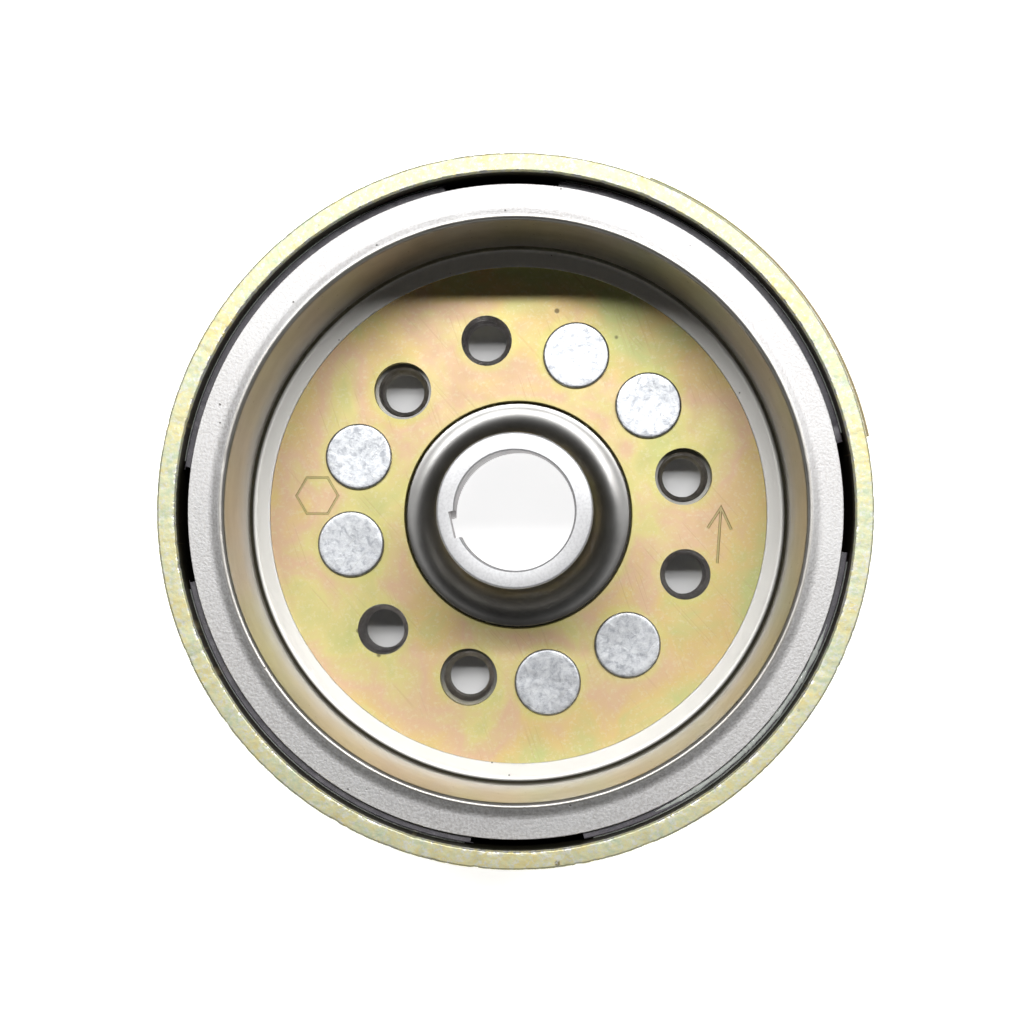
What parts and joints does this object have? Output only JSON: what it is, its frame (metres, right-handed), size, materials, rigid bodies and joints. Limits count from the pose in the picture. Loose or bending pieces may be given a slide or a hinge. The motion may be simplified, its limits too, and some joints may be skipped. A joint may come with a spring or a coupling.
{
  "type": "flywheel",
  "caption": "Magneto flywheel rotor of a small engine: a plated steel cup with arc magnets behind a sheet-metal retainer, on a riveted hub with a keyed taper bore.",
  "frame": {"origin": "on the wheel's axis, in the plane of the rear spigot's end face, which is the lowest face", "axes": "+Z along the axis towards the open side of the cup; +X lies 2.4 degrees before the first magnet gap, anticlockwise seen from the open side"},
  "size_m": [0.1103, 0.11, 0.051],
  "materials": {
    "zinc_plated_steel": "yellow passivated zinc plating, satin",
    "forged_steel": "dark forged steel, turned bright on its face",
    "retainer_sheet": "grained matt sheet with a burnished rolled edge",
    "ferrite": "ground hard ferrite, matt",
    "spacer_resin": "dark moulded plastic",
    "epoxy": "cured epoxy adhesive",
    "rivet_steel": "bright flattened steel"
  },
  "bodies": {
    "root": {"cup": "zinc_plated_steel", "hub": "forged_steel", "magnet_retainer": "retainer_sheet", "magnet_1": "ferrite", "magnet_2": "ferrite", "magnet_3": "ferrite", "magnet_4": "ferrite", "glue_layer_1": "epoxy", "glue_layer_2": "epoxy", "glue_layer_3": "epoxy", "glue_layer_4": "epoxy", "magnet_spacer_1": "spacer_resin", "magnet_spacer_2": "spacer_resin", "magnet_spacer_3": "spacer_resin", "magnet_spacer_4": "spacer_resin", "adhesive_bead": "epoxy", "rivet_1": "rivet_steel", "rivet_2": "rivet_steel", "rivet_3": "rivet_steel", "rivet_4": "rivet_steel", "rivet_5": "rivet_steel", "rivet_6": "rivet_steel"}
  },
  "joints": []
}
